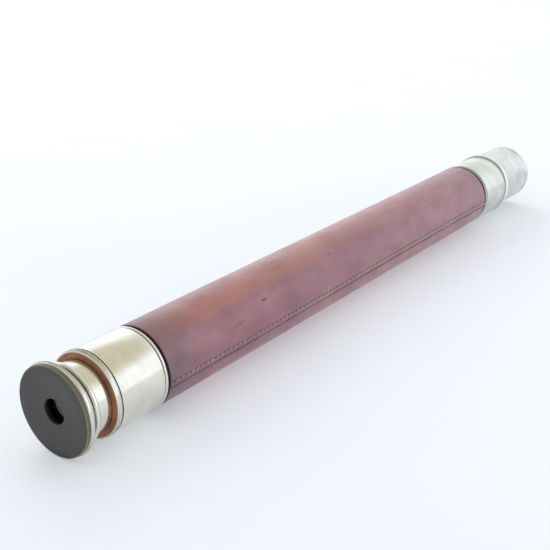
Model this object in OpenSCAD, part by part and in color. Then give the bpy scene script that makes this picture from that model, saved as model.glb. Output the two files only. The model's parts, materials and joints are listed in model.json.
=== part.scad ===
// Single-draw hand telescope with a leather-covered barrel, nickel-plated fittings,
// a black eye disc and a sunshade that slides on the nose of the main tube.
// Every round piece is turned about the optical axis. The axis runs along X, with the
// eyepiece at -X and the objective at +X, and the telescope lies on the plane Z = 0.

/* [Main tube and cover] */
// Outer diameter of the brass main tube
tube_d = 48.8; // [48.4:0.1:60]
// Wall of the main tube
tube_wall = 0.8; // [0.6:0.05:1.2]
// Thickness of the leather cover
cover_t = 1.58; // [1.3:0.01:2.4]
// Length of the leather cover
cover_len = 409.2; // [340:0.1:600]
// Gap between each end of the cover and its end ring
cover_gap = 0.5; // [0.2:0.1:1.5]
// Length of each ring that ends the cover
end_ring_len = 3.2; // [2:0.1:6]
// How far the end rings stand proud of the cover
end_ring_proud = 0.2; // [0:0.05:0.6]

/* [Eyepiece ferrule and draw bush] */
// Length of the ferrule at the eyepiece end
ferrule_len = 37.5; // [30:0.1:60]
// Wall of the plain part of the ferrule
ferrule_wall = 1.58; // [1.4:0.01:2.4]
// Length of the milled bead at the mouth of the ferrule
ferrule_bead_len = 3.6; // [2:0.1:8]
// How far the milled bead stands proud of the ferrule
ferrule_bead_proud = 0.5; // [0.2:0.05:1.5]
// Width of the groove behind the milled bead
groove_w = 0.6; // [0.3:0.05:1.5]
// Depth of the groove behind the milled bead
groove_depth = 0.2; // [0.1:0.05:0.3]
// How far the head of the bush reaches out past the inside of the ferrule
bush_head_step = 0.98; // [0.6:0.01:1.05]
// Length of the head of the bush
bush_head_len = 7; // [5:0.1:12]
// How far the face of the bush stands out of the ferrule
bush_face_proud = 0.4; // [0:0.05:1]
// Length of the sleeve of the bush inside the main tube
bush_sleeve_len = 41; // [25:0.5:60]
// Thickness of the cloth lining in the bush
lining_t = 0.6; // [0.4:0.05:0.8]
// Diameter of the pin that locks the bush in the ferrule
lock_pin_d = 0.9; // [0.6:0.05:1]
// Length of the lock pin
lock_pin_len = 2.5; // [1.5:0.1:4]
// Angle of the lock pin about the axis, from straight up towards -Y
lock_pin_angle = 80; // [0:1:359]

/* [Draw tube] */
// Radial room between the draw tube and the bore of the main tube
draw_room = 1.6; // [1.4:0.05:2.5]
// Wall of the draw tube
draw_wall = 0.7; // [0.5:0.05:1.2]
// Length of the draw tube
draw_len = 232.8; // [190:0.1:250]
// Length of draw tube that shows between the eyepiece head and the bush
draw_shown = 9.2; // [1:0.1:60]
// Length of the split spring ring on the inner end of the draw tube
spring_ring_len = 10; // [5:0.1:16]
// Length of the collar and of the nut that hold the spring ring
draw_nut_len = 4; // [2:0.1:8]
// Width of the slot in each spring ring
ring_slot = 1.5; // [0.5:0.1:4]

/* [Eyepiece head] */
// How far the milled flange of the eyepiece head reaches out past the draw tube
head_reach = 5.9; // [4:0.1:9]
// Length of the milled flange
head_flange_len = 3; // [2:0.1:6]
// How far the bottom of the cove behind the flange stands out past the draw tube
cove_reach = 2.3; // [1.8:0.1:3.5]
// Length of the eyepiece head that shows behind the eye disc
head_len = 11; // [10:0.1:20]
// Length of the spigot that holds the head in the draw tube
head_spigot_len = 8; // [4:0.1:16]
// How far the edge of the eye disc lies inside the edge of the milled flange
disc_inset = 0.7; // [0.2:0.1:2]
// Thickness of the rim of the eye disc
disc_t = 2.2; // [1.8:0.1:4]
// Depth of the dish in the face of the eye disc
dish_depth = 0.9; // [0.2:0.1:1.2]
// Diameter of the eye hole
eye_hole_d = 15; // [8:0.1:17]
// How far the boss that holds the eye disc lies inside the draw tube
disc_boss_inset = 3; // [1.5:0.1:5]
// Length of the boss behind the eye disc
disc_boss_len = 4; // [3:0.1:5]

/* [Eyepiece and erector] */
// Outer diameter of the eyepiece tube and of the erector tube
lens_tube_d = 29; // [27:0.1:35]
// Wall of the two lens tubes
lens_tube_wall = 0.9; // [0.5:0.05:1.2]
// Length of the eyepiece tube
eyepiece_len = 52; // [44:0.1:70]
// Length of the erector tube
erector_len = 100; // [60:0.1:120]
// Wall of the cell around the eye lens
eye_cell_wall = 3.58; // [2:0.01:4]
// Wall of the cells around the field lens and the two erector lenses
relay_cell_wall = 2.08; // [1:0.01:4]
// Thickness of each small lens at its centre
small_lens_t = 4.5; // [4:0.1:6]
// Radius of the curved face of each small lens
small_lens_curve = 42; // [34:1:90]
// Length of the cell that holds each small lens
small_cell_len = 8; // [7:0.1:11]
// Diameter of the hole in the field stop
field_stop_d = 13; // [6:0.1:20]
// Diameter of the hole in the erector stop
erector_stop_d = 5; // [3:0.1:12]
// Length of each ring that holds the erector tube in the draw tube
erector_mount_len = 5; // [3:0.1:10]

/* [Objective end] */
// Length of bare tube that shows between the sunshade rim and the objective bezel
nose_shown = 45.2; // [20:0.1:80]
// Length of the bezel of the objective cell
bezel_len = 5.4; // [5:0.1:10]
// How far the bezel stands proud of the main tube
bezel_proud = 0.4; // [0.35:0.05:0.6]
// Length of the objective cell inside the main tube
cell_len = 17; // [15:0.1:30]
// Wall of the objective cell around the lenses
cell_wall = 2.58; // [1.5:0.01:4]
// Thickness of the crown lens at its centre
crown_t = 6; // [4:0.1:8]
// Thickness of the flint lens at its centre
flint_t = 2.6; // [1.8:0.1:4]
// Radius of the curved faces of the objective lenses
objective_curve = 250; // [180:5:600]
// Air space between the two objective lenses
spacer_t = 0.3; // [0.2:0.05:1]
// Depth of the front face of the crown lens behind the front of the bezel
lens_recess = 4.6; // [3:0.1:6]
// Width of the lip and of the rings that bear on the objective lenses
lens_lip = 1; // [0.6:0.1:2]
// Length of the ring behind the flint lens
retaining_ring_len = 4; // [2:0.1:6]

/* [Sunshade] */
// Length of the sunshade tube
shade_len = 39; // [25:0.1:60]
// Wall of the sunshade tube
shade_wall = 0.8; // [0.5:0.05:1.5]
// Radial room between the main tube and the wall of the sunshade
shade_room = 1; // [0.8:0.05:2]
// How far the beaded rim stands proud of the sunshade tube
shade_rim_proud = 1.68; // [0.8:0.01:5]
// Length of the beaded rim
shade_rim_len = 3.2; // [2.6:0.1:6]
// Length of the rim that reaches past the end of the sunshade tube
shade_rim_lip = 1.3; // [0.6:0.1:1.8]
// Length of the split spring ring in the sunshade
shade_ring_len = 6; // [3:0.1:10]
// Length of the turned-in end of the sunshade and of its retainer
shade_lip_len = 1.5; // [1:0.1:4]

/* [Internal stops] */
// Distance between the blackened stops in the main tube
stop_pitch = 85; // [40:1:100]
// Length of the rim of each stop
stop_rim_len = 6; // [3:0.1:12]
// Thickness of the metal of each stop
stop_t = 0.6; // [0.4:0.1:1.5]

/* [Hidden] */

// Fixed pieces nest with seat_gap, sliding pieces run with slide_gap, and clear_gap
// parts two pieces that pass or face each other without touching.
seat_gap = 0.02;
slide_gap = 0.05;
clear_gap = 0.3;
// Largest chamfer on an outer edge.
edge = 0.3;
$fn = 96;

// Radii of the nested tubes, worked outwards and inwards from the main tube.
tube_r = tube_d / 2;
tube_ir = tube_r - tube_wall;
cover_ir = tube_r + seat_gap;
cover_r = cover_ir + cover_t;
ring_r = cover_r + end_ring_proud;
ferrule_r = cover_ir + ferrule_wall;
ferrule_bead_r = ferrule_r + ferrule_bead_proud;
bush_head_r = cover_ir + bush_head_step;
bush_sleeve_r = tube_ir - seat_gap;
draw_r = tube_ir - draw_room;
draw_ir = draw_r - draw_wall;
bush_bore_r = draw_r + slide_gap;
lining_seat_r = bush_bore_r + lining_t;
head_r = draw_r + head_reach;
cove_r = draw_r + cove_reach;
disc_r = head_r - disc_inset;
boss_r = draw_r - disc_boss_inset;
lens_tube_r = lens_tube_d / 2;
lens_tube_ir = lens_tube_r - lens_tube_wall;
small_cell_r = lens_tube_ir - seat_gap;
eye_lens_r = small_cell_r - eye_cell_wall;
relay_lens_r = small_cell_r - relay_cell_wall;
shade_ir = tube_r + shade_room;
shade_r = shade_ir + shade_wall;
shade_rim_seat_r = shade_r + seat_gap;
shade_rim_r = shade_rim_seat_r + shade_rim_proud;
shade_lip_r = tube_r + bezel_proud / 2;
bezel_r = tube_r + bezel_proud;
objective_r = tube_ir - seat_gap - cell_wall;
// The telescope rests on its largest ring.
rest_r = max(head_r, shade_rim_r);

// Stations along the axis, from the front of the eye disc towards the objective.
head_x = disc_t;
boss_end_x = head_x + disc_boss_len;
draw_x = head_x + head_len;
bush_x = draw_x + draw_shown;
ferrule_x = bush_x + bush_face_proud;
tube_x = bush_x + bush_head_len;
bush_end_x = tube_x + bush_sleeve_len;
ring_1_x = ferrule_x + ferrule_len;
cover_x = ring_1_x + end_ring_len + cover_gap;
ring_2_x = cover_x + cover_len + cover_gap;
shade_x = ring_2_x + end_ring_len + clear_gap;
shade_end_x = shade_x + shade_len;
rim_end_x = shade_end_x + shade_rim_lip;
bezel_x = rim_end_x + nose_shown;
overall = bezel_x + bezel_len;
crown_x = overall - lens_recess;
draw_end_x = draw_x + draw_len;
draw_nut_x = draw_end_x - draw_nut_len;
spring_ring_x = draw_nut_x - spring_ring_len;
eyepiece_x = head_x + 1;
eyepiece_end_x = eyepiece_x + eyepiece_len;
erector_end_x = spring_ring_x;
erector_x = erector_end_x - erector_len;
// Thickness of the lip of a small lens cell, and its reach over the lens.
small_lip = 1.2;
small_ring_len = 1.6;

// Rise of a spherical face of radius c at the radius r.
function sag(r, c) = c - sqrt(c * c - r * r);

// Points of an arc about c, from angle a to angle b, both in degrees.
function arc(c, r, a, b, n = 8) =
    [for (i = [0 : n]) c + r * [cos(a + (b - a) * i / n), sin(a + (b - a) * i / n)]];

// Puts a piece drawn along +Z, with the front of the eye disc at 0, onto the axis.
module on_axis() {
    translate([-overall / 2, 0, rest_r]) rotate([0, 90, 0]) children();
}

// A piece turned from its [radius, station] outline.
module turned(outline) {
    on_axis() rotate_extrude() polygon(outline);
}

// A plain turned sleeve.
module sleeve(r_out, r_in, x_from, x_to) {
    turned([[r_in, x_from], [r_out, x_from], [r_out, x_to], [r_in, x_to]]);
}

// A sleeve with its two outer corners broken.
module broken_sleeve(r_out, r_in, x_from, x_to, c = edge) {
    turned([
        [r_in, x_from], [r_out - c, x_from], [r_out, x_from + c],
        [r_out, x_to - c], [r_out - c, x_to], [r_in, x_to]
    ]);
}

// A sleeve cut along its length, so that it springs.
module split_ring(r_out, r_in, x_from, x_to) {
    difference() {
        sleeve(r_out, r_in, x_from, x_to);
        on_axis() translate([0, -ring_slot / 2, x_from - 1])
            cube([r_out + 1, ring_slot, x_to - x_from + 2]);
    }
}

// A ball centred on the axis.
module ball(x, r) {
    on_axis() translate([0, 0, x]) sphere(r);
}

// The cell, the lens and the ring of a small lens are drawn from the lip of the cell at x,
// and dir is 1 where the curved face points along +X and -1 where it points along -X.
module cell_at(x, dir) {
    translate([x - overall / 2, 0, rest_r]) rotate([0, dir * 90, 0]) children();
}

module small_cell(x, dir, lens_r) {
    cell_at(x, dir) rotate_extrude() polygon([
        [lens_r - small_lip, 0], [small_cell_r, 0], [small_cell_r, small_cell_len],
        [lens_r + seat_gap, small_cell_len], [lens_r + seat_gap, small_lip],
        [lens_r - small_lip, small_lip]
    ]);
}

module small_lens(x, dir, lens_r) {
    cell_at(x, dir) intersection() {
        translate([0, 0, small_lip]) cylinder(h = small_lens_t, r = lens_r);
        translate([0, 0, small_lip + small_lens_t - small_lens_curve]) sphere(small_lens_curve);
    }
}

module small_ring(x, dir, lens_r) {
    ring_ir = lens_r - small_lip;
    ring_x = small_lip + small_lens_t - sag(ring_ir, small_lens_curve) + seat_gap;
    cell_at(x, dir) difference() {
        translate([0, 0, ring_x]) cylinder(h = small_ring_len, r = lens_r);
        translate([0, 0, ring_x - 1]) cylinder(h = small_ring_len + 2, r = ring_ir);
    }
}

eye_cell_x = eyepiece_x + 0.5;
field_cell_x = eyepiece_end_x - small_cell_len;
field_stop_x = eyepiece_x + 26;
rear_cell_x = erector_x + 0.5;
front_cell_x = erector_end_x - 0.5;

// ---- Main tube, cover and rings ----

module main_tube() {
    color("#b9ae84") sleeve(tube_r, tube_ir, tube_x, bezel_x);
}

module leather_cover() {
    color("#8a4a42") sleeve(cover_r, cover_ir, cover_x, cover_x + cover_len);
}

module end_ring(x) {
    bead_r = end_ring_len / 2;
    crown = 0.35;
    color("#c9c5b2") turned(concat(
        [[cover_ir, x]],
        [for (i = [0 : 8]) [ring_r - crown * pow((i - 4) / 4, 2), x + bead_r * i / 4]],
        [[cover_ir, x + end_ring_len]]
    ));
}

module eyepiece_end_ring() {
    end_ring(ring_1_x);
}

module objective_end_ring() {
    end_ring(ring_2_x);
}

// ---- Ferrule and bush ----

// A round rod on the joint between the bush and the ferrule.
module joint_rod(r, x_from, x_to) {
    on_axis() rotate([0, 0, 180 - lock_pin_angle]) translate([bush_head_r, 0, x_from])
        cylinder(h = x_to - x_from, r = r);
}

// Hole for the lock pin, half in the bush and half in the ferrule.
module pin_hole() {
    joint_rod(lock_pin_d / 2 + seat_gap, bush_x - 1, bush_x + lock_pin_len + seat_gap);
}

module eyepiece_ferrule() {
    bead_end = ferrule_x + ferrule_bead_len;
    color("#cfccb8") difference() {
        turned([
            [bush_head_r + seat_gap, ferrule_x], [ferrule_bead_r - edge, ferrule_x],
            [ferrule_bead_r, ferrule_x + edge], [ferrule_bead_r, bead_end - edge],
            [ferrule_bead_r - edge, bead_end], [ferrule_r - groove_depth, bead_end],
            [ferrule_r - groove_depth, bead_end + groove_w], [ferrule_r, bead_end + groove_w],
            [ferrule_r, ring_1_x - edge], [ferrule_r - edge, ring_1_x],
            [cover_ir, ring_1_x], [cover_ir, tube_x], [bush_head_r + seat_gap, tube_x]
        ]);
        pin_hole();
    }
}

module draw_bush() {
    color("#7a4a26") difference() {
        turned([
            [bush_bore_r + edge, bush_x], [bush_head_r - edge, bush_x],
            [bush_head_r, bush_x + edge], [bush_head_r, tube_x],
            [bush_sleeve_r, tube_x], [bush_sleeve_r, bush_end_x], [lining_seat_r, bush_end_x],
            [lining_seat_r, tube_x], [bush_bore_r, tube_x], [bush_bore_r, bush_x + edge]
        ]);
        pin_hole();
    }
}

module bush_lining() {
    color("#3d2a20") sleeve(lining_seat_r - seat_gap, bush_bore_r, tube_x, bush_end_x);
}

module bush_lock_pin() {
    color("#2b2622") joint_rod(lock_pin_d / 2, bush_x + 0.1, bush_x + lock_pin_len);
}

// ---- Stops in the main tube ----

// Radius of the cone of light from the objective to the erector at the station x.
function cone_r(x) =
    relay_lens_r + (objective_r - relay_lens_r) * (x - draw_end_x) / (crown_x - draw_end_x);

module barrel_stop(i) {
    r_out = tube_ir - seat_gap;
    x = draw_end_x + (i - 0.35) * stop_pitch;
    color("#1c1b1a") turned([
        [cone_r(x), x], [r_out, x], [r_out, x + stop_rim_len],
        [r_out - stop_t, x + stop_rim_len], [r_out - stop_t, x + stop_t], [cone_r(x), x + stop_t]
    ]);
}

// ---- Objective ----

// Station where a ring of inner radius r bears on the front of the crown lens.
lip_x = crown_x - sag(objective_r - lens_lip, objective_curve) + seat_gap;
crown_back_x = crown_x - crown_t;
flint_front_x = crown_back_x - spacer_t;
flint_back_x = flint_front_x - flint_t;
spacer_x = flint_front_x + sag(objective_r - lens_lip, objective_curve);

module objective_cell() {
    cell_r = tube_ir - seat_gap;
    bore_r = objective_r + seat_gap;
    lip_r = objective_r - lens_lip;
    back_x = bezel_x - cell_len;
    color("#c9c5b2") turned([
        [bore_r, back_x], [cell_r, back_x], [cell_r, bezel_x], [bezel_r, bezel_x],
        [bezel_r, overall - edge], [bezel_r - edge, overall], [lip_r + edge, overall],
        [lip_r, overall - edge], [lip_r, lip_x], [bore_r, lip_x]
    ]);
}

module objective_crown_lens() {
    color("#dfe9e6", 0.4) intersection() {
        on_axis() translate([0, 0, crown_back_x]) cylinder(h = crown_t, r = objective_r);
        ball(crown_x - objective_curve, objective_curve);
        ball(crown_back_x + objective_curve, objective_curve);
    }
}

// The spacer bears on a flat at the rim of the flint lens and on the back of the crown lens.
module objective_spacer() {
    color("#1c1b1a")
        sleeve(objective_r, objective_r - lens_lip, spacer_x, spacer_x + spacer_t);
}

module objective_flint_lens() {
    color("#dfe9e6", 0.4) difference() {
        on_axis() translate([0, 0, flint_back_x])
            cylinder(h = spacer_x - flint_back_x, r = objective_r);
        ball(flint_front_x + objective_curve, objective_curve);
    }
}

module objective_retaining_ring() {
    color("#1c1b1a")
        sleeve(objective_r, objective_r - lens_lip, flint_back_x - retaining_ring_len, flint_back_x);
}

// ---- Draw tube ----

module draw_tube() {
    color("#cbc6b0") sleeve(draw_r, draw_ir, draw_x, draw_end_x);
}

module draw_collar() {
    color("#9a7b3c") sleeve(tube_ir - clear_gap, draw_r + seat_gap, spring_ring_x - draw_nut_len,
        spring_ring_x);
}

module draw_spring_ring() {
    color("#9a7b3c") split_ring(tube_ir - slide_gap, draw_r + seat_gap,
        spring_ring_x + slide_gap, draw_nut_x - slide_gap);
}

module draw_stop_nut() {
    color("#9a7b3c") sleeve(tube_ir - clear_gap, draw_r + seat_gap, draw_nut_x, draw_end_x);
}

// ---- Eyepiece head ----

module eyepiece_head() {
    round_r = 0.8;
    flange_x = head_x + head_flange_len;
    cove = [cove_r + 2.2, flange_x + 2.2];
    bead_x = draw_x - 2.6;
    bead_r = 1.5;
    bore_r = boss_r + seat_gap;
    spigot_r = draw_ir - seat_gap;
    spigot_ir = spigot_r - 1.5;
    spigot_end_x = draw_x + head_spigot_len;
    tube_hole_r = lens_tube_r + seat_gap;
    web_x = boss_end_x + clear_gap;
    web_t = 3;
    color("#cfccb8") turned(concat(
        [[bore_r, head_x]],
        arc([head_r - round_r, head_x + round_r], round_r, -90, 0, 6),
        arc([head_r - round_r, flange_x - round_r], round_r, 0, 90, 6),
        arc(cove, 2.2, 270, 180, 8),
        [[cove_r, bead_x - bead_r]],
        arc([cove_r - 0.3, bead_x], bead_r, -80, 80, 10),
        [[draw_r + 0.6, bead_x + bead_r], [draw_r + 0.6, draw_x - 0.3], [draw_r + 0.3, draw_x],
            [spigot_r, draw_x], [spigot_r, spigot_end_x], [spigot_ir, spigot_end_x],
            [spigot_ir, web_x + web_t], [tube_hole_r, web_x + web_t], [tube_hole_r, web_x],
            [bore_r, web_x]]
    ));
}

module eye_disc() {
    hole_r = eye_hole_d / 2;
    lip_r = 0.9;
    rim_in = disc_r - 2;
    hub_r = lens_tube_r + 1;
    web_x = eyepiece_x - 0.2;
    // The face falls from its rim to the eye hole on a smooth curve.
    color("#3c3b3b") turned(concat(
        [for (i = [0 : 10]) [hole_r + lip_r + (rim_in - hole_r - lip_r) * i / 10,
            dish_depth * (1 + cos(180 * i / 10)) / 2]],
        arc([disc_r - lip_r, lip_r], lip_r, -90, 0, 6),
        [[disc_r, head_x], [boss_r, head_x], [boss_r, boss_end_x], [hub_r, boss_end_x],
            [hub_r, web_x], [hole_r, web_x]],
        arc([hole_r + lip_r, dish_depth + lip_r], lip_r, 180, 270, 6)
    ));
}

// ---- Eyepiece ----

module eyepiece_tube() {
    color("#9a7b3c") sleeve(lens_tube_r, lens_tube_ir, eyepiece_x, eyepiece_end_x);
}

module eye_lens_cell() {
    color("#1c1b1a") small_cell(eye_cell_x, 1, eye_lens_r);
}

module eye_lens() {
    color("#dfe9e6", 0.4) small_lens(eye_cell_x, 1, eye_lens_r);
}

module eye_lens_ring() {
    color("#1c1b1a") small_ring(eye_cell_x, 1, eye_lens_r);
}

module field_stop() {
    color("#1c1b1a") turned([
        [field_stop_d / 2, field_stop_x], [small_cell_r, field_stop_x],
        [small_cell_r, field_stop_x + 5], [small_cell_r - 1, field_stop_x + 5],
        [small_cell_r - 1, field_stop_x + 1], [field_stop_d / 2, field_stop_x + 1]
    ]);
}

module field_lens_cell() {
    color("#1c1b1a") small_cell(field_cell_x, 1, relay_lens_r);
}

module field_lens() {
    color("#dfe9e6", 0.4) small_lens(field_cell_x, 1, relay_lens_r);
}

module field_lens_ring() {
    color("#1c1b1a") small_ring(field_cell_x, 1, relay_lens_r);
}

// ---- Erector ----

module erector_mount(x) {
    color("#9a7b3c")
        sleeve(draw_ir - seat_gap, lens_tube_r + seat_gap, x, x + erector_mount_len);
}

module erector_mount_rear() {
    erector_mount(erector_x + 12);
}

module erector_mount_front() {
    erector_mount(erector_end_x - 12 - erector_mount_len);
}

module erector_tube() {
    color("#9a7b3c") sleeve(lens_tube_r, lens_tube_ir, erector_x, erector_end_x);
}

module erector_stop() {
    x = (erector_x + erector_end_x) / 2;
    color("#1c1b1a") turned([
        [erector_stop_d / 2, x], [small_cell_r, x], [small_cell_r, x + 5],
        [small_cell_r - 1, x + 5], [small_cell_r - 1, x + 1], [erector_stop_d / 2, x + 1]
    ]);
}

module erector_rear_cell() {
    color("#1c1b1a") small_cell(rear_cell_x, 1, relay_lens_r);
}

module erector_rear_lens() {
    color("#dfe9e6", 0.4) small_lens(rear_cell_x, 1, relay_lens_r);
}

module erector_rear_ring() {
    color("#1c1b1a") small_ring(rear_cell_x, 1, relay_lens_r);
}

module erector_front_cell() {
    color("#1c1b1a") small_cell(front_cell_x, -1, relay_lens_r);
}

module erector_front_lens() {
    color("#dfe9e6", 0.4) small_lens(front_cell_x, -1, relay_lens_r);
}

module erector_front_ring() {
    color("#1c1b1a") small_ring(front_cell_x, -1, relay_lens_r);
}

// ---- Sunshade ----

module sunshade_tube() {
    color("#c9c9c0") turned([
        [shade_lip_r, shade_x], [shade_r - edge, shade_x], [shade_r, shade_x + edge],
        [shade_r, shade_end_x], [shade_ir, shade_end_x], [shade_ir, shade_x + shade_lip_len],
        [shade_lip_r, shade_x + shade_lip_len]
    ]);
}

module sunshade_spring_ring() {
    x = shade_x + shade_lip_len;
    color("#9a7b3c") split_ring(shade_ir - seat_gap, tube_r + slide_gap,
        x + slide_gap, x + shade_ring_len - slide_gap);
}

module sunshade_retainer() {
    x = shade_x + shade_lip_len + shade_ring_len;
    color("#9a7b3c") sleeve(shade_ir - seat_gap, shade_lip_r, x, x + shade_lip_len);
}

module sunshade_rim() {
    seat_r = shade_rim_seat_r;
    back_x = rim_end_x - shade_rim_len;
    half = shade_rim_len / 2;
    color("#cfccb8") turned(concat(
        [[seat_r, back_x], [seat_r + 0.3, back_x]],
        [for (i = [1 : 9]) [seat_r + 0.3 + (shade_rim_proud - 0.3) * sin(18 * i),
            back_x + half * (1 - cos(18 * i))]],
        [[seat_r + 0.3, rim_end_x], [shade_ir, rim_end_x], [shade_ir, shade_end_x],
            [seat_r, shade_end_x]]
    ));
}

main_tube();
leather_cover();
eyepiece_end_ring();
objective_end_ring();
eyepiece_ferrule();
draw_bush();
bush_lining();
bush_lock_pin();
barrel_stop(1);  // barrel_stop_1
barrel_stop(2);  // barrel_stop_2
barrel_stop(3);  // barrel_stop_3
objective_cell();
objective_crown_lens();
objective_spacer();
objective_flint_lens();
objective_retaining_ring();
draw_tube();
draw_collar();
draw_spring_ring();
draw_stop_nut();
eyepiece_head();
eye_disc();
eyepiece_tube();
field_stop();
eye_lens_cell();
eye_lens();
eye_lens_ring();
field_lens_cell();
field_lens();
field_lens_ring();
erector_mount_rear();
erector_mount_front();
erector_tube();
erector_stop();
erector_rear_cell();
erector_rear_lens();
erector_rear_ring();
erector_front_cell();
erector_front_lens();
erector_front_ring();
sunshade_tube();
sunshade_spring_ring();
sunshade_retainer();
sunshade_rim();
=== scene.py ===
"""Single-draw hand telescope: leather-covered barrel, nickel-plated fittings, black eye disc."""

import json
import math

import bmesh
import bpy
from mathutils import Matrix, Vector, noise


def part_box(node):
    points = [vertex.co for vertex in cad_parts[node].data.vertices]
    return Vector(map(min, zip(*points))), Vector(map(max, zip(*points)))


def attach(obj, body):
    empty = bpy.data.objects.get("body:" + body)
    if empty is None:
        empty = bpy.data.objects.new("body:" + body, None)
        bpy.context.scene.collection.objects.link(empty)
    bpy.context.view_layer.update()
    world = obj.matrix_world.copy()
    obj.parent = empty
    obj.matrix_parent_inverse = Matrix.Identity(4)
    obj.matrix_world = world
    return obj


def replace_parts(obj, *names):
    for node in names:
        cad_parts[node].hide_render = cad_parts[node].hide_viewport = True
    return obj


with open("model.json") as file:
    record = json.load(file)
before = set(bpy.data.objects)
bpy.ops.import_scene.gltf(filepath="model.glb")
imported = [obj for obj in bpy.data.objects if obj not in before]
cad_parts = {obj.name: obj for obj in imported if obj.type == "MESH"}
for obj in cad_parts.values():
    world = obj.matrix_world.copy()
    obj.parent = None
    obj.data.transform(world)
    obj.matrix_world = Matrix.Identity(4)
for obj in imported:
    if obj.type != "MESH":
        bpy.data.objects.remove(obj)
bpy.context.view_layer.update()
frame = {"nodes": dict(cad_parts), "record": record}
scene = bpy.context.scene

MM = 0.001
UP = Vector((0, 0, 1))

# The optical axis runs along X at this height.
axis_z = sum(corner.z for corner in map(Vector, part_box("main_tube"))) / 2


def span(node):
    """First station, last station and outer radius of a turned CAD piece, in metres."""
    low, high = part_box(node)
    return low[0], high[0], (high[2] - low[2]) / 2


# ---------------------------------------------------------------- sizes from the frame

head_x, head_end_x, head_r = span("eyepiece_head")
disc_x, disc_end_x, disc_r = span("eye_disc")
ferrule_x, ferrule_end_x, ferrule_bead_r = span("eyepiece_ferrule")
ring_1_x, ring_1_end_x, ring_r = span("eyepiece_end_ring")
ring_2_x, ring_2_end_x, ring_r = span("objective_end_ring")
cover_x, cover_end_x, cover_r = span("leather_cover")
shade_x, shade_end_x, shade_r = span("sunshade_tube")
rim_x, rim_end_x, rim_r = span("sunshade_rim")
tube_x, tube_end_x, tube_r = span("main_tube")
draw_x, draw_end_x, draw_r = span("draw_tube")

# Room between two pieces that fit together.
FIT = 0.02 * MM
TUBE_WALL = 0.8 * MM
DRAW_WALL = 0.7 * MM
# Inner radius of what fits over the main tube, and outer radius of what fits inside it.
over_tube_r = tube_r + FIT
inside_tube_r = tube_r - TUBE_WALL - FIT

# The seam of the leather. The lap's angle is in degrees from the top towards -Y, and drifts along
# the tube. The stitches lie in a groove, at an offset round from the lapped edge.
LAP_ANGLE = 99.0
LAP_DRIFT = -5.5
LAP_STEP = 0.6 * MM
STITCH_OFFSET = 2.9 * MM
GROOVE_DEPTH = 0.32 * MM
GROOVE_HALF = 0.55 * MM
STITCH_PITCH = 4.4 * MM
STITCH_LEN = 3.3 * MM
THREAD_R = 0.3 * MM
# Least length of leather without stitches, both ends together.
UNSTITCHED = 6 * MM
stitch_count = int((cover_end_x - cover_x - UNSTITCHED) / STITCH_PITCH)
stitch_start = (cover_x + cover_end_x - (stitch_count - 1) * STITCH_PITCH) / 2

# ---------------------------------------------------------------- camera and light helpers


def look_from(place, yaw, pitch, lens):
    """The camera, turned yaw degrees from +X and pitched down."""
    data = bpy.data.cameras.new("camera")
    data.lens = lens
    data.sensor_width = 36
    data.clip_start = 0.01
    camera = bpy.data.objects.new("camera", data)
    camera.location = place
    camera.rotation_euler = (math.radians(90 - pitch), 0, math.radians(yaw - 90))
    scene.collection.objects.link(camera)
    scene.camera = camera


def softbox(name, place, target, size, watts, colour):
    """A rectangular light aimed at target. Polished metal doesn't mirror it."""
    data = bpy.data.lights.new(name, "AREA")
    data.shape = "RECTANGLE"
    data.size, data.size_y = size
    data.energy = watts
    data.color = colour
    lamp = bpy.data.objects.new(name, data)
    lamp.location = place
    aim = Vector(target) - Vector(place)
    lamp.rotation_euler = aim.to_track_quat("-Z", "Y").to_euler()
    lamp.visible_glossy = False
    scene.collection.objects.link(lamp)


# ---------------------------------------------------------------- material helpers


def linear(code):
    """An sRGB hex colour as linear RGBA."""
    shares = [int(code[i : i + 2], 16) / 255 for i in (1, 3, 5)]
    flat = [c / 12.92 if c <= 0.04045 else ((c + 0.055) / 1.055) ** 2.4 for c in shares]
    return (*flat, 1)


def add(tree, kind, sockets=None, **settings):
    """Adds a node. sockets maps an input to a value or to the output that feeds it."""
    made = tree.nodes.new(kind)
    for key, value in settings.items():
        setattr(made, key, value)
    for key, value in (sockets or {}).items():
        if isinstance(value, bpy.types.NodeSocket):
            tree.links.new(value, made.inputs[key])
        else:
            made.inputs[key].default_value = value
    return made


def blank(name):
    """An empty material, its tree and its principled shader."""
    material = bpy.data.materials.new(name)
    material.use_nodes = True
    tree = material.node_tree
    return material, tree, tree.nodes["Principled BSDF"]


def pattern(tree, scale, detail=3.0, stretch=(1, 1, 1), rough=0.5):
    """Noise from 0 to 1 on the piece's own coordinates. scale is in lumps a metre, so that 1000
    makes lumps of 1 mm, and stretch multiplies it along each axis."""
    coords = add(tree, "ShaderNodeTexCoord").outputs["Object"]
    placed = add(tree, "ShaderNodeMapping", {"Vector": coords, "Scale": stretch})
    made = add(
        tree,
        "ShaderNodeTexNoise",
        {"Vector": placed.outputs[0], "Scale": scale, "Detail": detail, "Roughness": rough},
    )
    return made.outputs["Fac"]


def spread(tree, value, low, high, to_low=0.0, to_high=1.0):
    """Turns low..high of a value into to_low..to_high on a smooth ramp, held at both ends."""
    made = add(
        tree,
        "ShaderNodeMapRange",
        {0: value, 1: low, 2: high, 3: to_low, 4: to_high},
        interpolation_type="SMOOTHSTEP",
    )
    return made.outputs[0]


def sums(tree, operation, first, second):
    """One step of arithmetic."""
    return add(tree, "ShaderNodeMath", {0: first, 1: second}, operation=operation).outputs[0]


def blend(tree, factor, first, second):
    """Mixes two colours: the first where the factor is 0 and the second where it is 1."""
    made = add(tree, "ShaderNodeMix", {0: factor, 6: first, 7: second}, data_type="RGBA")
    return made.outputs[2]


def near(tree, value, centre, inner, outer):
    """1 where the value is within inner of the centre, falling to 0 at outer."""
    away = sums(tree, "ABSOLUTE", sums(tree, "SUBTRACT", value, centre), 0)
    return spread(tree, away, outer, inner)


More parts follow.
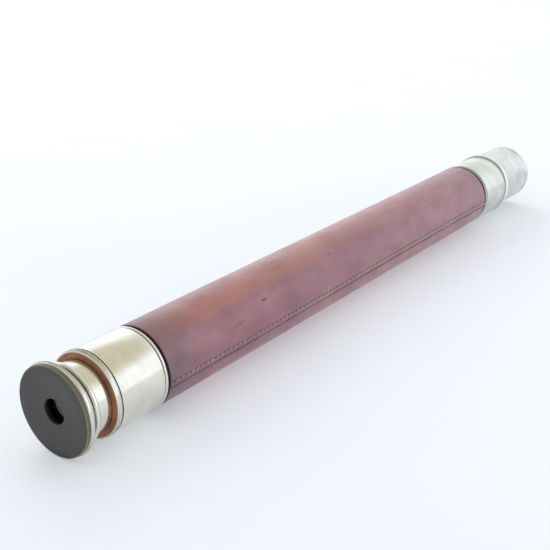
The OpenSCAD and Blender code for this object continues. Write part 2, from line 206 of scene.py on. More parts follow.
def relief(tree, height, distance, below=None):
    """Turns a height from 0 to 1 into a bump of that many metres."""
    sockets = {"Height": height, "Strength": 1.0, "Distance": distance}
    if below is not None:
        sockets["Normal"] = below
    return add(tree, "ShaderNodeBump", sockets).outputs[0]


def axis_distance(tree):
    """Distance of a point of the surface from the optical axis, in metres."""
    coords = add(tree, "ShaderNodeTexCoord").outputs["Object"]
    centred = add(
        tree,
        "ShaderNodeMapping",
        {"Vector": coords, "Location": (0, 0, -axis_z), "Scale": (0, 1, 1)},
    )
    made = add(tree, "ShaderNodeVectorMath", {0: centred.outputs[0]}, operation="LENGTH")
    return made.outputs["Value"]


# ---------------------------------------------------------------- materials


def nickel_plate(name, colour, gloss, dull, blotch, tarnish_and_shade=1.0):
    """Nickel plate on turned brass: a warm grey mirror, hazed where hands have polished it,
    with faint rings from the lathe, and brown tarnish with painted shade in enclosed corners and
    gaps. The rings are 0.4 mm apart, coarser than a fine feed leaves them, so that they show."""
    material, tree, shader = blank(name)
    haze = pattern(tree, 55, 5, rough=0.6)
    smear = pattern(tree, 90, 4, stretch=(1, 0.8, 0.8))
    rings = pattern(tree, 60, 2, stretch=(45, 0.6, 0.6))
    # Tarnish and painted shade: brown-black where the surface is enclosed, in corners and gaps.
    shut = add(tree, "ShaderNodeAmbientOcclusion", {"Distance": 2.2 * MM}, samples=6)
    corner = spread(tree, shut.outputs["AO"], 0.82, 0.4)
    patchy = spread(tree, haze, 0.25, 0.55, 0.65 * tarnish_and_shade, tarnish_and_shade)
    corner = sums(tree, "MULTIPLY", corner, patchy)
    stain = spread(tree, pattern(tree, 90, 6, rough=0.65), 0.56, 0.72, 0, blotch)
    clean = blend(tree, spread(tree, smear, 0.35, 0.7, 0, 0.25), linear(colour), (1, 1, 1, 1))
    stained = blend(tree, stain, clean, linear("#a09e92"))
    tree.links.new(blend(tree, corner, stained, linear("#2a231b")), shader.inputs["Base Color"])
    shader.inputs["Metallic"].default_value = 1.0
    rough = spread(tree, haze, 0.3, 0.7, gloss, dull)
    rough = sums(tree, "ADD", rough, sums(tree, "MULTIPLY", stain, 0.25))
    rough = sums(tree, "ADD", rough, sums(tree, "MULTIPLY", corner, 0.3))
    tree.links.new(rough, shader.inputs["Roughness"])
    turned_marks = relief(tree, rings, 0.004 * MM)
    dings = relief(tree, pattern(tree, 30, 2), 0.12 * MM, turned_marks)
    tree.links.new(dings, shader.inputs["Normal"])
    return material


def hide_colour(tree, station, level, cloud, fine):
    """Mahogany stain: cloudy, pale in patches of wear and painted sheen, cooler towards the
    objective, with a painted warm reflection in orange on top, strongest towards the eyepiece,
    and dark and grey over the first few centimetres by the ferrule."""
    body = blend(tree, spread(tree, cloud, 0.32, 0.68), linear("#8c4d5d"), linear("#b67677"))
    body = blend(tree, spread(tree, fine, 0.42, 0.7, 0, 0.45), body, linear("#713d45"))
    # Pale patches of wear and painted sheen.
    wear_and_sheen = pattern(tree, 48, 6, stretch=(0.5, 1, 1), rough=0.7)
    body = blend(tree, spread(tree, wear_and_sheen, 0.58, 0.74, 0, 0.5), body, linear("#b27773"))
    cooler = spread(tree, station, cover_x, cover_end_x, 0, 0.6)
    body = blend(tree, cooler, body, linear("#854e60"))
    # Painted warm reflection: orange on top, strongest towards the eyepiece.
    topside = spread(tree, level, axis_z + 0.62 * cover_r, axis_z + 0.95 * cover_r)
    top_glow = spread(tree, station, cover_end_x, cover_x + 20 * MM, 0.15, 0.62)
    top_glow = sums(tree, "MULTIPLY", top_glow, spread(tree, cloud, 0.35, 0.6, 0.4, 1.0))
    body = blend(tree, sums(tree, "MULTIPLY", topside, top_glow), body, linear("#ad6440"))
    # Dark and grey over the first few centimetres by the ferrule.
    ferrule_end_dark = spread(tree, station, cover_x + 42 * MM, cover_x + 4 * MM, 0, 0.62)
    return blend(tree, ferrule_end_dark, body, linear("#4d3b46"))


def knock_bruise(tree, point, fine, knock):
    """The dark, ragged bruise that one knock leaves."""
    station, angle, half_length, half_width, dark = knock
    turn = math.radians(angle)
    centre = (station, -cover_r * math.sin(turn), axis_z + cover_r * math.cos(turn))
    moved = add(tree, "ShaderNodeVectorMath", {0: point, 1: centre}, operation="SUBTRACT")
    scale = (1 / (half_length * MM), 1 / (half_width * MM), 1 / (half_width * MM))
    shrunk = add(
        tree, "ShaderNodeVectorMath", {0: moved.outputs[0], 1: scale}, operation="MULTIPLY"
    )
    reach = add(tree, "ShaderNodeVectorMath", {0: shrunk.outputs[0]}, operation="LENGTH")
    ragged = sums(tree, "ADD", reach.outputs["Value"], fine)
    return spread(tree, ragged, 1.6, 0.9, 0, dark)


def seam_dirt_and_shade(tree, station, fine):
    """Dirt and painted shade under the lapped edge, in the stitch groove and in the holes that the
    thread goes through. The piece's arc attribute is the distance round from the lapped edge, in
    metres."""
    arc = add(tree, "ShaderNodeAttribute", attribute_name="arc").outputs["Fac"]
    # Dirt and painted shade in dark lines under the lap and in the groove, and at each needle
    # hole.
    under_lap = near(tree, arc, -0.98 * MM, 0.6 * MM, 0.9 * MM)
    in_groove = near(tree, arc, STITCH_OFFSET + 0.4 * MM, 0.2 * MM, 0.6 * MM)
    lines = sums(tree, "MAXIMUM", under_lap, in_groove)
    lines = sums(tree, "MULTIPLY", lines, spread(tree, fine, 0.3, 0.6, 0.7, 1.0))
    half = STITCH_PITCH / 2
    from_stitch = sums(tree, "SUBTRACT", station, stitch_start)
    from_stitch = sums(tree, "PINGPONG", from_stitch, half)
    at_hole = spread(tree, from_stitch, half - 0.9 * MM, half - 0.4 * MM)
    hole = sums(tree, "MULTIPLY", at_hole, near(tree, arc, STITCH_OFFSET, 0.3 * MM, 0.6 * MM))
    return sums(tree, "MAXIMUM", lines, hole)


def polished_hide(name, knocks):
    """Vegetable-tanned hide, wrapped wet, stained mahogany and waxed by years of hands: a smooth
    closed grain with long faint creases and a soft shine, dark with dirt and painted shade where
    it is enclosed, along the seam and at its cut ends, and dark where it was knocked. The pores
    are
    1 mm apart, coarser than real ones, so that they show."""
    material, tree, shader = blank(name)
    point = add(tree, "ShaderNodeTexCoord").outputs["Object"]
    along = add(tree, "ShaderNodeSeparateXYZ", {0: point})
    station, level = along.outputs["X"], along.outputs["Z"]
    cloud = pattern(tree, 16, 4, stretch=(0.45, 1, 1))
    fine = pattern(tree, 75, 5, stretch=(0.6, 1, 1), rough=0.6)
    pores = pattern(tree, 1000, 4, rough=0.6)
    creases = pattern(tree, 230, 4, stretch=(0.16, 1, 1), rough=0.55)

    # Dirt and painted shade: darker where the hide is enclosed.
    shut = add(tree, "ShaderNodeAmbientOcclusion", {"Distance": 1.5 * MM}, samples=6)
    hide_dirt_and_shade = spread(tree, shut.outputs["AO"], 0.9, 0.35, 0, 0.95)
    # Dark cut ends: edge dye and dirt, with painted shade of the gap beside each end ring.
    near_end = spread(tree, station, cover_x + 1.1 * MM, cover_x + 0.6 * MM)
    far_end = spread(tree, station, cover_end_x - 2.2 * MM, cover_end_x - 1.2 * MM)
    for dark in (near_end, far_end, seam_dirt_and_shade(tree, station, fine)):
        hide_dirt_and_shade = sums(tree, "MAXIMUM", hide_dirt_and_shade, dark)
    for knock in knocks:
        hide_dirt_and_shade = sums(tree, "MAXIMUM", hide_dirt_and_shade, knock_bruise(tree, point, fine, knock))

    body = hide_colour(tree, station, level, cloud, fine)
    tree.links.new(blend(tree, hide_dirt_and_shade, body, linear("#170d0f")), shader.inputs["Base Color"])
    rough = spread(tree, fine, 0.3, 0.7, 0.4, 0.56)
    rough = sums(tree, "ADD", rough, sums(tree, "MULTIPLY", hide_dirt_and_shade, 0.3))
    tree.links.new(rough, shader.inputs["Roughness"])
    shader.inputs["Specular IOR Level"].default_value = 0.6
    shader.inputs["Coat Weight"].default_value = 0.85
    shader.inputs["Coat Roughness"].default_value = 0.4
    grain = relief(tree, pores, 0.1 * MM)
    folds = relief(tree, creases, 0.16 * MM, grain)
    lumps = relief(tree, pattern(tree, 42, 2, stretch=(0.5, 1, 1)), 0.3 * MM, folds)
    tree.links.new(lumps, shader.inputs["Normal"])
    tree.links.new(lumps, shader.inputs["Coat Normal"])
    return material


def tarnished_brass(name):
    """Bare brass never plated and seldom polished: brown-orange oxide with darker freckles."""
    material, tree, shader = blank(name)
    patch = pattern(tree, 120, 5, rough=0.65)
    freckle = pattern(tree, 520, 3)
    body = blend(tree, spread(tree, patch, 0.35, 0.65), linear("#a8754a"), linear("#8f6045"))
    body = blend(tree, spread(tree, freckle, 0.66, 0.76, 0, 0.6), body, linear("#3a2318"))
    tree.links.new(body, shader.inputs["Base Color"])
    shader.inputs["Metallic"].default_value = 0.45
    tree.links.new(spread(tree, patch, 0.3, 0.7, 0.38, 0.6), shader.inputs["Roughness"])
    tree.links.new(relief(tree, freckle, 0.03 * MM), shader.inputs["Normal"])
    return material


def black_lacquer(name, edge_r):
    """Satin black lacquer baked on a turned brass disc, rubbed through to yellow brass along the
    rim, with an olive band of wear and painted sheen over the rounded edge, a breath of dust in
    the dish, and painted shade, near black, down the eye hole and in other enclosed places."""
    material, tree, shader = blank(name)
    tone = pattern(tree, 60, 4)
    dust = pattern(tree, 900, 3)
    body = blend(tree, spread(tree, tone, 0.3, 0.7), linear("#312e2d"), linear("#3a3634"))
    body = blend(tree, spread(tree, dust, 0.62, 0.8, 0, 0.3), body, linear("#77736c"))
    radius = axis_distance(tree)
    # Wear and painted sheen: an olive band along the rounded rim.
    wear_and_sheen = near(tree, radius, edge_r - 0.3 * MM, 0.25 * MM, 0.5 * MM)
    body = blend(tree, sums(tree, "MULTIPLY", wear_and_sheen, 0.6), body, linear("#7d7659"))
    rub = near(tree, radius, edge_r - 0.22 * MM, 0.06 * MM, 0.18 * MM)
    chips = spread(tree, pattern(tree, 130, 5, rough=0.7), 0.34, 0.5)
    rub = sums(tree, "MULTIPLY", rub, chips)
    # Painted shade: near black where the surface is enclosed, as down the eye hole.
    shut = add(tree, "ShaderNodeAmbientOcclusion", {"Distance": 9 * MM}, samples=6)
    body = blend(tree, spread(tree, shut.outputs["AO"], 0.9, 0.6), body, linear("#080808"))
    tree.links.new(blend(tree, rub, body, linear("#a3905a")), shader.inputs["Base Color"])
    tree.links.new(rub, shader.inputs["Metallic"])
    tree.links.new(spread(tree, tone, 0.3, 0.7, 0.36, 0.5), shader.inputs["Roughness"])
    tree.links.new(relief(tree, dust, 0.012 * MM), shader.inputs["Normal"])
    return material


def inner_brass(name):
    """Turned yellow brass inside the tubes, cleanly machined and a little oily. Its rings are
    drawn coarse too, 0.6 mm apart."""
    material, tree, shader = blank(name)
    film = pattern(tree, 70, 4)
    rings = pattern(tree, 60, 2, stretch=(30, 0.6, 0.6))
    body = blend(tree, spread(tree, film, 0.3, 0.7), linear("#b08d4c"), linear("#8a6a34"))
    tree.links.new(body, shader.inputs["Base Color"])
    shader.inputs["Metallic"].default_value = 1.0
    tree.links.new(spread(tree, film, 0.3, 0.7, 0.24, 0.42), shader.inputs["Roughness"])
    tree.links.new(relief(tree, rings, 0.006 * MM), shader.inputs["Normal"])
    return material


def blackened_brass(name):
    """Brass blackened in a chemical bath, so that it throws back no stray light."""
    material, tree, shader = blank(name)
    cloud = pattern(tree, 200, 4)
    body = blend(tree, spread(tree, cloud, 0.35, 0.7), linear("#161515"), linear("#262422"))
    tree.links.new(body, shader.inputs["Base Color"])
    shader.inputs["Metallic"].default_value = 0.3
    tree.links.new(spread(tree, cloud, 0.3, 0.7, 0.5, 0.7), shader.inputs["Roughness"])
    tree.links.new(relief(tree, pattern(tree, 2500, 2), 0.01 * MM), shader.inputs["Normal"])
    return material


def lens_glass(name):
    """Polished crown and flint glass with a faint green cast and a few specks of dust. Its shine
    is held back, so that the eye hole stays dark."""
    material, tree, shader = blank(name)
    shader.inputs["Base Color"].default_value = linear("#eef7f3")
    shader.inputs["Transmission Weight"].default_value = 1.0
    shader.inputs["IOR"].default_value = 1.52
    shader.inputs["Specular IOR Level"].default_value = 0.3
    dust = pattern(tree, 1800, 2)
    tree.links.new(spread(tree, dust, 0.7, 0.8, 0.0, 0.2), shader.inputs["Roughness"])
    return material


def lining_cloth(name):
    """Dark wool cloth glued in the bush: matt, with a short nap."""
    material, tree, shader = blank(name)
    nap = pattern(tree, 2200, 4)
    body = blend(tree, spread(tree, nap, 0.35, 0.7), linear("#2a1c15"), linear("#46301f"))
    tree.links.new(body, shader.inputs["Base Color"])
    shader.inputs["Roughness"].default_value = 0.95
    shader.inputs["Sheen Weight"].default_value = 0.3
    tree.links.new(relief(tree, nap, 0.12 * MM), shader.inputs["Normal"])
    return material


def dark_steel(name):
    """The slotless grub pin: steel gone dark with age."""
    material, tree, shader = blank(name)
    rust = pattern(tree, 1500, 3)
    body = blend(tree, spread(tree, rust, 0.4, 0.7), linear("#1f1b19"), linear("#3c2a20"))
    tree.links.new(body, shader.inputs["Base Color"])
    shader.inputs["Metallic"].default_value = 0.8
    tree.links.new(spread(tree, rust, 0.3, 0.7, 0.4, 0.65), shader.inputs["Roughness"])
    tree.links.new(relief(tree, rust, 0.02 * MM), shader.inputs["Normal"])
    return material


def waxed_thread(name):
    """Linen thread pulled through cobbler's wax: twisted, a dusty pale brown, shiny on top."""
    material, tree, shader = blank(name)
    twist = pattern(tree, 1400, 2, stretch=(1, 0.4, 0.4))
    body = blend(tree, spread(tree, twist, 0.35, 0.65), linear("#a08580"), linear("#dcc2ba"))
    tree.links.new(body, shader.inputs["Base Color"])
    tree.links.new(spread(tree, twist, 0.3, 0.7, 0.4, 0.6), shader.inputs["Roughness"])
    tree.links.new(relief(tree, twist, 0.08 * MM), shader.inputs["Normal"])
    return material


def pale_table(name):
    """A matt white table top under a bright window. It glows a little, so that it stays pale in
    the soft shadow of the telescope."""
    material, tree, shader = blank(name)
    tone = pattern(tree, 2, 3)
    body = blend(tree, spread(tree, tone, 0.3, 0.7), linear("#cfd1d3"), linear("#d3d5d7"))
    tree.links.new(body, shader.inputs["Base Color"])
    shader.inputs["Roughness"].default_value = 0.75
    shader.inputs["Specular IOR Level"].default_value = 0.25
    shader.inputs["Emission Color"].default_value = linear("#f3f5f8")
    shader.inputs["Emission Strength"].default_value = 0.34
    return material


# ---------------------------------------------------------------- mesh helpers

# Faces round a plain turned piece, teeth round a milled band, and how far each tooth stands out.
TURNED_STEPS = 192
TEETH = 240
MILLING = 0.14 * MM


def corner_arc(before, point, after, radius, steps=4):
    """Points that round the corner at point with a curve of about that radius."""
    back = (before - point).normalized()
    ahead = (after - point).normalized()
    half = back.angle(ahead, 0) / 2
    reach = min(
        radius / max(math.tan(half), 0.01),
        (before - point).length * 0.49,
        (after - point).length * 0.49,
    )
    start, end = point + back * reach, point + ahead * reach
    made = []
    for i in range(steps + 1):
        t = i / steps
        made.append(start * (1 - t) ** 2 + point * 2 * t * (1 - t) + end * t * t)
    return made


def rounded(outline):
    """An outline of (x, r) or (x, r, fillet) with its fillets drawn."""
    flat = [Vector(p[:2]) for p in outline]
    made = []
    for i, p in enumerate(outline):
        if len(p) == 3:
            made += corner_arc(flat[i - 1], flat[i], flat[(i + 1) % len(flat)], p[2])
        else:
            made.append(flat[i])
    return made


def finish_mesh(name, bm, body, material, sharp=32):
    """Makes the bmesh an object that rides on a CAD body, smooth but for edges sharper than
    that many degrees."""
    bmesh.ops.recalc_face_normals(bm, faces=bm.faces)
    for face in bm.faces:
        face.smooth = True
    for edge in bm.edges:
        edge.smooth = edge.calc_face_angle(0) < math.radians(sharp)
    mesh = bpy.data.meshes.new(name)
    bm.to_mesh(mesh)
    bm.free()
    mesh.materials.append(material)
    piece = bpy.data.objects.new(name, mesh)
    scene.collection.objects.link(piece)
    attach(piece, body)
    return piece


def spun(outline, steps):
    """A bmesh of a closed (x, r) outline turned about the optical axis."""
    bm = bmesh.new()
    points = [bm.verts.new((p.x, 0, p.y)) for p in rounded(outline)]
    rim = [bm.edges.new(pair) for pair in zip(points, points[1:] + points[:1])]
    bmesh.ops.spin(
        bm,
        geom=points + rim,
        cent=(0, 0, 0),
        axis=(1, 0, 0),
        angle=2 * math.pi,
        steps=steps,
        use_merge=True,
    )
    return bm


def lift(bm):
    """Moves a bmesh turned about X = 0 up to the optical axis."""
    bmesh.ops.translate(bm, verts=bm.verts, vec=UP * axis_z)


def mill(bm, low_x, high_x, low_r):
    """Raises and sinks every other point of a band, as a diamond milling wheel does. The band
    has two points for each tooth round it."""
    stations = sorted(
        {round(v.co.x, 6) for v in bm.verts if low_x < v.co.x < high_x and v.co.yz.length > low_r}
    )
    rows = {x: i for i, x in enumerate(stations)}
    for v in bm.verts:
        row = rows.get(round(v.co.x, 6))
        radius = v.co.yz.length
        if row is None or radius < low_r:
            continue
        tooth = round(math.atan2(v.co.y, v.co.z) / (2 * math.pi) * 2 * TEETH)
        push = MILLING if (row + tooth) % 2 else -MILLING
        v.co.yz = v.co.yz * ((radius + push) / radius)


def turned(name, outline, body, material, node):
    """A lathe-turned piece that stands for a CAD node."""
    bm = spun(outline, TURNED_STEPS)
    lift(bm)
    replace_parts(finish_mesh(name, bm, body, material), node)


def turned_and_milled(name, outline, low_x, high_x, low_r, body, material, node):
    """A lathe-turned piece with a milled band from low_x to high_x, outside the radius low_r."""
    bm = spun(outline, 2 * TEETH)
    mill(bm, low_x + 0.1 * MM, high_x - 0.1 * MM, low_r)
    lift(bm)
    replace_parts(finish_mesh(name, bm, body, material), node)


def bead(x_from, x_to, low_r, top_r, rows):
    """Points over a rounded band, from its first edge to its last."""
    made = []
    for i in range(rows + 1):
        turn = math.pi * i / rows
        x = x_from + (x_to - x_from) * (1 - math.cos(turn)) / 2
        made.append((x, low_r + (top_r - low_r) * math.sin(turn)))
    return made


# ---------------------------------------------------------------- camera, light and floor

CAMERA_PLACE = (-0.56879, -0.36135, 0.29081)
CAMERA_YAW = 36.83
CAMERA_PITCH = 22.44
LENS = 62.77
look_from(CAMERA_PLACE, CAMERA_YAW, CAMERA_PITCH, LENS)

# Bright, even daylight. Matt surfaces are lit by the same pale colour from all round, and by one
# large window. Polished metal mirrors a room instead: white walls low down, a warm, dimmer ceiling
# above them, and a dark corner beyond the eyepiece.
DAYLIGHT = (0.82, 0.86, 0.91, 1)
WALLS = (1.3, 1.37, 1.46, 1)
CEILING = (0.78, 0.75, 0.6, 1)
DARK_CORNER = (0.42, 0.41, 0.39, 1)
softbox("window", (0.9, 1.7, 1.3), (0.2, 0, 0), (1.6, 1.2), 15, (1.0, 0.985, 0.95))

world = bpy.data.worlds.new("room")
scene.world = world
world.use_nodes = True
room = world.node_tree
direction = add(room, "ShaderNodeTexCoord").outputs["Generated"]
towards = add(room, "ShaderNodeSeparateXYZ", {0: direction}).outputs
mirrored = blend(room, spread(room, towards["Z"], 0.46, 0.74), WALLS, CEILING)
mirrored = blend(room, spread(room, towards["X"], -0.1, -0.6), mirrored, DARK_CORNER)
is_mirrored = add(room, "ShaderNodeLightPath").outputs["Is Glossy Ray"]
room_colour = blend(room, is_mirrored, DAYLIGHT, mirrored)
room.links.new(room_colour, room.nodes["Background"].inputs["Color"])
room.nodes["Background"].inputs["Strength"].default_value = 1.0
scene.view_settings.view_transform = "Standard"

FLOOR_HALF = 9
floor_bm = bmesh.new()
bmesh.ops.create_grid(floor_bm, x_segments=2, y_segments=2, size=FLOOR_HALF)
floor_mesh = bpy.data.meshes.new("table_top")
floor_bm.to_mesh(floor_mesh)
floor_bm.free()
floor_mesh.materials.append(pale_table("table_white"))
table_top = bpy.data.objects.new("table_top", floor_mesh)
scene.collection.objects.link(table_top)

# ---------------------------------------------------------------- materials of the object

# Old knocks and scuffs in the leather: the station in metres, the angle from the top towards -Y in
# degrees, the half length and half width in millimetres, and how dark it is. The last two are on
# the far side.
KNOCKS = [
    (cover_x + 0.094, 53.7, 3.2, 1.0, 0.75),
    (cover_x + 0.068, 66.7, 1.4, 0.7, 0.5),
    (cover_x + 0.175, 38.8, 3.0, 0.6, 0.6),
    (cover_x + 0.320, 35.7, 1.6, 0.8, 0.6),
    (cover_x + 0.391, 61.4, 1.8, 1.1, 0.6),
    (cover_x + 0.063, 68.0, 12.0, 1.4, 0.25),
    (cover_x + 0.072, 75.5, 8.0, 1.0, 0.22),
    (cover_x + 0.117, 74.0, 1.2, 0.6, 0.5),
    (cover_x + 0.205, 250, 2.5, 0.8, 0.5),
    (cover_x + 0.300, 310, 1.5, 0.7, 0.6),
]
hide = polished_hide("waxed_mahogany_hide", KNOCKS)
bright_plate = nickel_plate("bright_nickel_plate", "#dedbd0", 0.13, 0.24, 0.15)
worn_plate = nickel_plate("worn_nickel_plate", "#c4c6bf", 0.26, 0.4, 0.3)
shade_plate = nickel_plate("handled_nickel_plate", "#c8cac3", 0.26, 0.4, 0.3, 0.4)
lacquer = black_lacquer("rubbed_black_lacquer", disc_r)
face_brass = tarnished_brass("tarnished_brass")
# The sunshade bead gets a whiter plate than the rest: a painted highlight for the bright line that
# it catches.
bead_plate = nickel_plate("whitened_nickel_bead", "#f2f2ee", 0.3, 0.4, 0.05, 0.3)
thread = waxed_thread("waxed_linen_thread")
FINISHES = {
    "leather": hide,
    "nickel_plate": bright_plate,
    "worn_nickel": worn_plate,
    "bare_brass_face": face_brass,
    "inner_brass": inner_brass("turned_yellow_brass"),
    "blackened_brass": blackened_brass("blackened_brass"),
    "black_lacquer": lacquer,
    "pin_steel": dark_steel("dark_grub_steel"),
    "lining_cloth": lining_cloth("dark_wool_lining"),
    "lens_glass": lens_glass("optical_glass"),
}
for part in frame["record"]["subparts"]:
    cad_mesh = frame["nodes"][part["node"]].data
    cad_mesh.materials.clear()
    cad_mesh.materials.append(FINISHES[part["material_slot"]])

# ---------------------------------------------------------------- eyepiece head and disc

flange_end_x = head_x + 3 * MM
cove_r = draw_r + 2.3 * MM
boss_bore_r = draw_r - 3 * MM + FIT
spigot_r = draw_r - DRAW_WALL - FIT
spigot_ir = spigot_r - 1.5 * MM
web_x = head_x + 4.3 * MM
web_end_x = web_x + 3 * MM
neck_r = draw_r + 0.08 * MM
collar_r = draw_r + 0.2 * MM
lens_tube_r = span("eyepiece_tube")[2] + FIT

# The flange bulges between its edges, and its milling covers the bulge.
head_outline = [(head_x, boss_bore_r)]
head_outline += bead(head_x, flange_end_x, head_r - 1.1 * MM, head_r - MILLING, 10)
head_outline += [
    (flange_end_x + 0.25 * MM, head_r - 1.9 * MM, 0.4 * MM),
    (flange_end_x + 0.9 * MM, cove_r + 0.2 * MM, 2.2 * MM),
]
head_outline += bead(draw_x - 3.9 * MM, draw_x - 0.8 * MM, draw_r + 1.2 * MM, cove_r + 0.3 * MM, 8)
head_outline += [
    (draw_x - 0.7 * MM, neck_r),
    (draw_x - 0.15 * MM, neck_r),
    (draw_x - 0.1 * MM, collar_r),
    (draw_x, collar_r),
    (draw_x, spigot_r),
    (head_end_x, spigot_r),
    (head_end_x, spigot_ir),
    (web_end_x, spigot_ir),
    (web_end_x, lens_tube_r),
    (web_x, lens_tube_r),
    (web_x, boss_bore_r),
]
turned_and_milled(
    "milled_eyepiece_head",
    head_outline,
    head_x,
    flange_end_x,
    head_r - 1.0 * MM,
    "draw",
    bright_plate,
    "eyepiece_head",
)

# The disc is dished from the eye hole out to a flat rim, in a smooth wave of DISH_ROWS rows.
EYE_HOLE_R = 7.5 * MM
DISH = 0.9 * MM
DISH_ROWS = 11
dish_r = EYE_HOLE_R + 0.8 * MM
dish_outer_r = disc_r - 1.6 * MM
hub_r = lens_tube_r + 1 * MM
hub_x = disc_x + 3.0 * MM
rim_back_x = disc_x + 2.2 * MM
disc_outline = [(hub_x, EYE_HOLE_R), (disc_x + DISH, EYE_HOLE_R, 0.7 * MM)]
for i in range(1, DISH_ROWS):
    share = i / DISH_ROWS
    depth = DISH * (1 + math.cos(math.pi * share)) / 2
    disc_outline.append((disc_x + depth, dish_r + (dish_outer_r - dish_r) * share))
disc_outline += [
    (disc_x, dish_outer_r, 0.3 * MM),
    (disc_x, disc_r, 0.7 * MM),
    (rim_back_x, disc_r, 0.25 * MM),
    (rim_back_x, boss_bore_r - FIT),
    (disc_end_x, boss_bore_r - FIT),
    (disc_end_x, hub_r),
    (hub_x, hub_r),
]
turned("dished_eye_disc", disc_outline, "draw", lacquer, "eye_disc")

draw_outline = [
    (draw_x, draw_r),
    (draw_end_x, draw_r),
    (draw_end_x, draw_r - DRAW_WALL),
    (draw_x, draw_r - DRAW_WALL),
]
turned("plated_draw_tube", draw_outline, "draw", bright_plate, "draw_tube")

# ---------------------------------------------------------------- ferrule and end rings

bush_x, bush_end_x, bush_face_r = span("draw_bush")
ferrule_bore_r = ferrule_bead_r - 1.08 * MM
ferrule_r = ferrule_bead_r - 0.5 * MM
ferrule_groove_r = ferrule_r - 0.7 * MM
bead_end_x = ferrule_x + 3.6 * MM
ferrule_outline = [(ferrule_x, ferrule_bore_r)]
ferrule_outline += bead(ferrule_x, bead_end_x, ferrule_r - 0.1 * MM, ferrule_bead_r - MILLING, 10)
ferrule_outline += [
    (bead_end_x + 0.05 * MM, ferrule_groove_r),
    (bead_end_x + 0.75 * MM, ferrule_groove_r),
    (bead_end_x + 0.8 * MM, ferrule_r, 0.15 * MM),
    (ferrule_end_x, ferrule_r, 0.5 * MM),
    (ferrule_end_x, over_tube_r),
    (tube_x, over_tube_r),
    (tube_x, ferrule_bore_r),
]
turned_and_milled(
    "milled_ferrule",
    ferrule_outline,
    ferrule_x,
    bead_end_x,
    ferrule_r,
    "barrel",
    bright_plate,
    "eyepiece_ferrule",
)

lining_r = span("bush_lining")[2] + FIT
face_bore_r = draw_r + 0.12 * MM
bush_outline = [
    (bush_x, face_bore_r),
    (bush_x, bush_face_r, 0.25 * MM),
    (tube_x, bush_face_r),
    (tube_x, inside_tube_r),
    (bush_end_x, inside_tube_r),
    (bush_end_x, lining_r),
    (tube_x, lining_r),
    (tube_x, face_bore_r),
]
turned("bare_draw_bush", bush_outline, "barrel", face_brass, "draw_bush")


def end_ring(name, x_from, x_to, finish, node):
    """A ring with a rounded back that ends the leather."""
    outline = [(x_from, over_tube_r)]
    outline += bead(x_from, x_to, ring_r - 1.2 * MM, ring_r, 8)
    outline.append((x_to, over_tube_r))
    turned(name, outline, "barrel", finish, node)


# Each ring stops short of its neighbours, so that a dark gap shows on both sides of it.
end_ring(
    "eyepiece_cover_ring",
    ring_1_x + 0.3 * MM,
    ring_1_end_x - 0.5 * MM,
    bright_plate,
    "eyepiece_end_ring",
)
end_ring(
    "objective_cover_ring",
    ring_2_x + 1.4 * MM,
    ring_2_end_x - 0.2 * MM,
    worn_plate,
    "objective_end_ring",
)

# ---------------------------------------------------------------- nose and sunshade

nose_outline = [
    (tube_x, tube_r),
    (tube_end_x, tube_r, 0.12 * MM),
    (tube_end_x, tube_r - TUBE_WALL),
    (tube_x, tube_r - TUBE_WALL),
]
turned("main_tube_with_nose", nose_outline, "barrel", worn_plate, "main_tube")

shade_ir = tube_r + 1 * MM
shade_lip_r = tube_r + 0.2 * MM
shade_lip_end_x = shade_x + 1.5 * MM
shade_outline = [
    (shade_x, shade_lip_r),
    (shade_x, shade_r, 0.35 * MM),
    (shade_end_x, shade_r),
    (shade_end_x, shade_ir),
    (shade_lip_end_x, shade_ir),
    (shade_lip_end_x, shade_lip_r),
]
turned("sunshade_sleeve", shade_outline, "sunshade", shade_plate, "sunshade_tube")

rim_outline = [(rim_x, shade_r + FIT)]
rim_outline += bead(rim_x, rim_end_x, shade_r + 0.3 * MM, rim_r, 12)
rim_outline += [(rim_end_x, shade_ir), (shade_end_x, shade_ir), (shade_end_x, shade_r + FIT)]
turned("sunshade_bead", rim_outline, "sunshade", bead_plate, "sunshade_rim")

# The bezel flares from the nose on a slope too gentle to show a join.
cell_x, bezel_end_x, bezel_r = span("objective_cell")
lens_bore_r = span("objective_crown_lens")[2] + FIT
lip_x = bezel_end_x - 2 * MM
lip_r = lens_bore_r - 1 * MM
bezel_outline = [
    (cell_x, lens_bore_r),
    (cell_x, inside_tube_r),
    (tube_end_x, inside_tube_r),
    (tube_end_x, tube_r),
    (tube_end_x + 2.6 * MM, bezel_r, 3 * MM),
    (bezel_end_x, bezel_r, 0.5 * MM),
    (bezel_end_x, lip_r, 0.3 * MM),
    (lip_x, lip_r),
    (lip_x, lens_bore_r),
]
turned(
    "flared_objective_bezel", bezel_outline, "barrel", worn_plate, "objective_cell"
)

# ---------------------------------------------------------------- leather cover

# How far each end of the hide stops short of the CAD's, and how its cut edge curls in: each row's
# distance from the end and its drop. Between the curls the hide has ROWS rows, and it swells and
# sinks a little.
SHORT = 0.5 * MM
SWELL = 0.1 * MM
CURL = [(0, 0.55 * MM), (0.15 * MM, 0.25 * MM), (0.5 * MM, 0.06 * MM)]
CURL_LEN = 1.2 * MM
ROWS = 150
# How far from the lapped edge the section has close-set points, and its steps round each side.
SEAM_REACH = 5.4 * MM
SIDE_STEPS = 46


def seam_angle(x):
    """Angle of the lapped edge from the top towards -Y, in degrees. The wrap creeps a little."""
    along = (x - cover_x) / (cover_end_x - cover_x)
    return LAP_ANGLE - LAP_DRIFT / 2 + LAP_DRIFT * along + 0.6 * math.sin(7.3 * along)


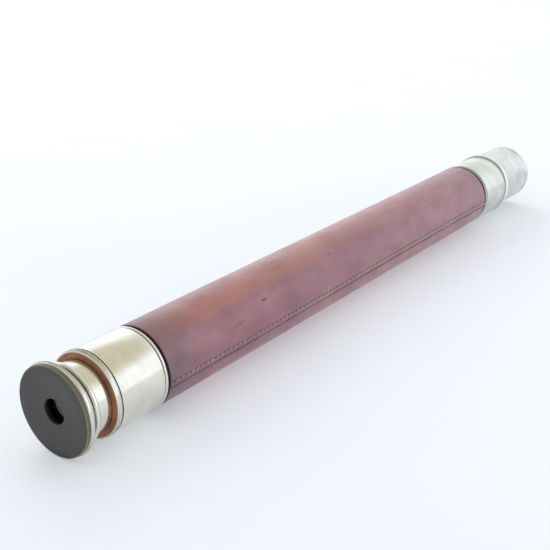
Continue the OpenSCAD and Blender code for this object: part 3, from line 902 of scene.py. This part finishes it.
def hide_radius(arc):
    """Outer radius of the hide at a signed distance round from the lapped edge, in metres. The
    upper layer, at positive distances, is the full thickness; the lower one is pared thin."""
    if arc < 0:
        return cover_r - LAP_STEP * math.exp(arc / (7 * MM))
    margin = 0.12 * MM * math.exp(-(((arc - 1.2 * MM) / (1.6 * MM)) ** 2))
    groove = GROOVE_DEPTH * math.exp(-(((arc - STITCH_OFFSET) / GROOVE_HALF) ** 2))
    edge = 0.14 * MM * math.exp(-arc / (0.25 * MM))
    return cover_r + margin - groove - edge


def section_arcs():
    """Signed distances round the cover at which its section is drawn, close set at the seam."""
    half = math.pi * cover_r
    upper = [0.12 * MM * 1.16**i for i in range(1, 24)]
    upper = [0.03 * MM] + [arc for arc in upper if arc < SEAM_REACH]
    lower = [-0.02 * MM, -0.35 * MM, -1.0 * MM, -2.0 * MM, -3.6 * MM, -SEAM_REACH]
    over, under = upper[-1], lower[-1]
    upper += [over + (half - over) * i / SIDE_STEPS for i in range(1, SIDE_STEPS + 1)]
    lower += [under - (half + under) * i / SIDE_STEPS for i in range(1, SIDE_STEPS)]
    return upper + lower[::-1]


def place(arc, x, radius):
    """The point of the cover at that distance round, that station and that radius."""
    turn = math.radians(seam_angle(x)) - arc / cover_r
    return Vector((x, -radius * math.sin(turn), axis_z + radius * math.cos(turn)))


def leather_cover():
    """The wrapped hide: one closed sleeve whose section steps down at the lapped edge."""
    bm = bmesh.new()
    arc_of = bm.verts.layers.float.new("arc")
    near_x, far_x = cover_x + SHORT, cover_end_x - SHORT
    ring = []
    for arc in section_arcs():
        v = bm.verts.new(place(arc, near_x, over_tube_r))
        v[arc_of] = arc
        ring.append(v)
    near_edges = [bm.edges.new(pair) for pair in zip(ring, ring[1:] + ring[:1])]
    row_len = (far_x - near_x - 2 * CURL_LEN) / ROWS
    stations = [(near_x + d, drop) for d, drop in CURL]
    stations += [(near_x + CURL_LEN + row_len * i, 0) for i in range(ROWS + 1)]
    stations += [(far_x - d, drop) for d, drop in reversed(CURL)]
    edges = near_edges
    for x, drop in stations + [(far_x, None)]:
        made = bmesh.ops.extrude_edge_only(bm, edges=edges)["geom"]
        edges = [e for e in made if isinstance(e, bmesh.types.BMEdge) and e.is_boundary]
        for v in (v for v in made if isinstance(v, bmesh.types.BMVert)):
            arc = v[arc_of]
            if drop is None:
                v.co = place(arc, x, over_tube_r)
                continue
            swell = noise.noise(Vector((x * 18, arc * 40, 3.7))) * SWELL
            v.co = place(arc, x, hide_radius(arc) - drop + swell)
    bmesh.ops.bridge_loops(bm, edges=near_edges + edges)
    piece = finish_mesh("leather_wrap", bm, "barrel", hide, sharp=60)
    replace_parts(piece, "leather_cover")


def stitching():
    """A row of long stitches that lie in the groove, each sloping a little across it."""
    bm = bmesh.new()
    depth_r = cover_r - 0.2 * MM
    for i in range(stitch_count):
        x = stitch_start + i * STITCH_PITCH
        arc = STITCH_OFFSET + 0.12 * MM * math.sin(i * 2.4)
        middle = place(arc, x, depth_r)
        along = place(arc + 0.16 * MM, x + 1 * MM, depth_r) - middle
        out = Vector((0, middle.y, middle.z - axis_z)).normalized()
        along = (along - out * along.dot(out)).normalized()
        side = out.cross(along)
        ball = bmesh.ops.create_uvsphere(bm, u_segments=8, v_segments=8, radius=1)["verts"]
        for v in ball:
            reach = math.copysign(abs(v.co.z) ** 0.7, v.co.z)
            dip = out * (0.16 * MM * (1 - v.co.z**2))
            round_thread = (side * v.co.x + out * v.co.y) * THREAD_R
            v.co = middle + along * (reach * STITCH_LEN / 2) + round_thread + dip
    finish_mesh("cover_stitches", bm, "barrel", thread, sharp=80)


leather_cover()
stitching()
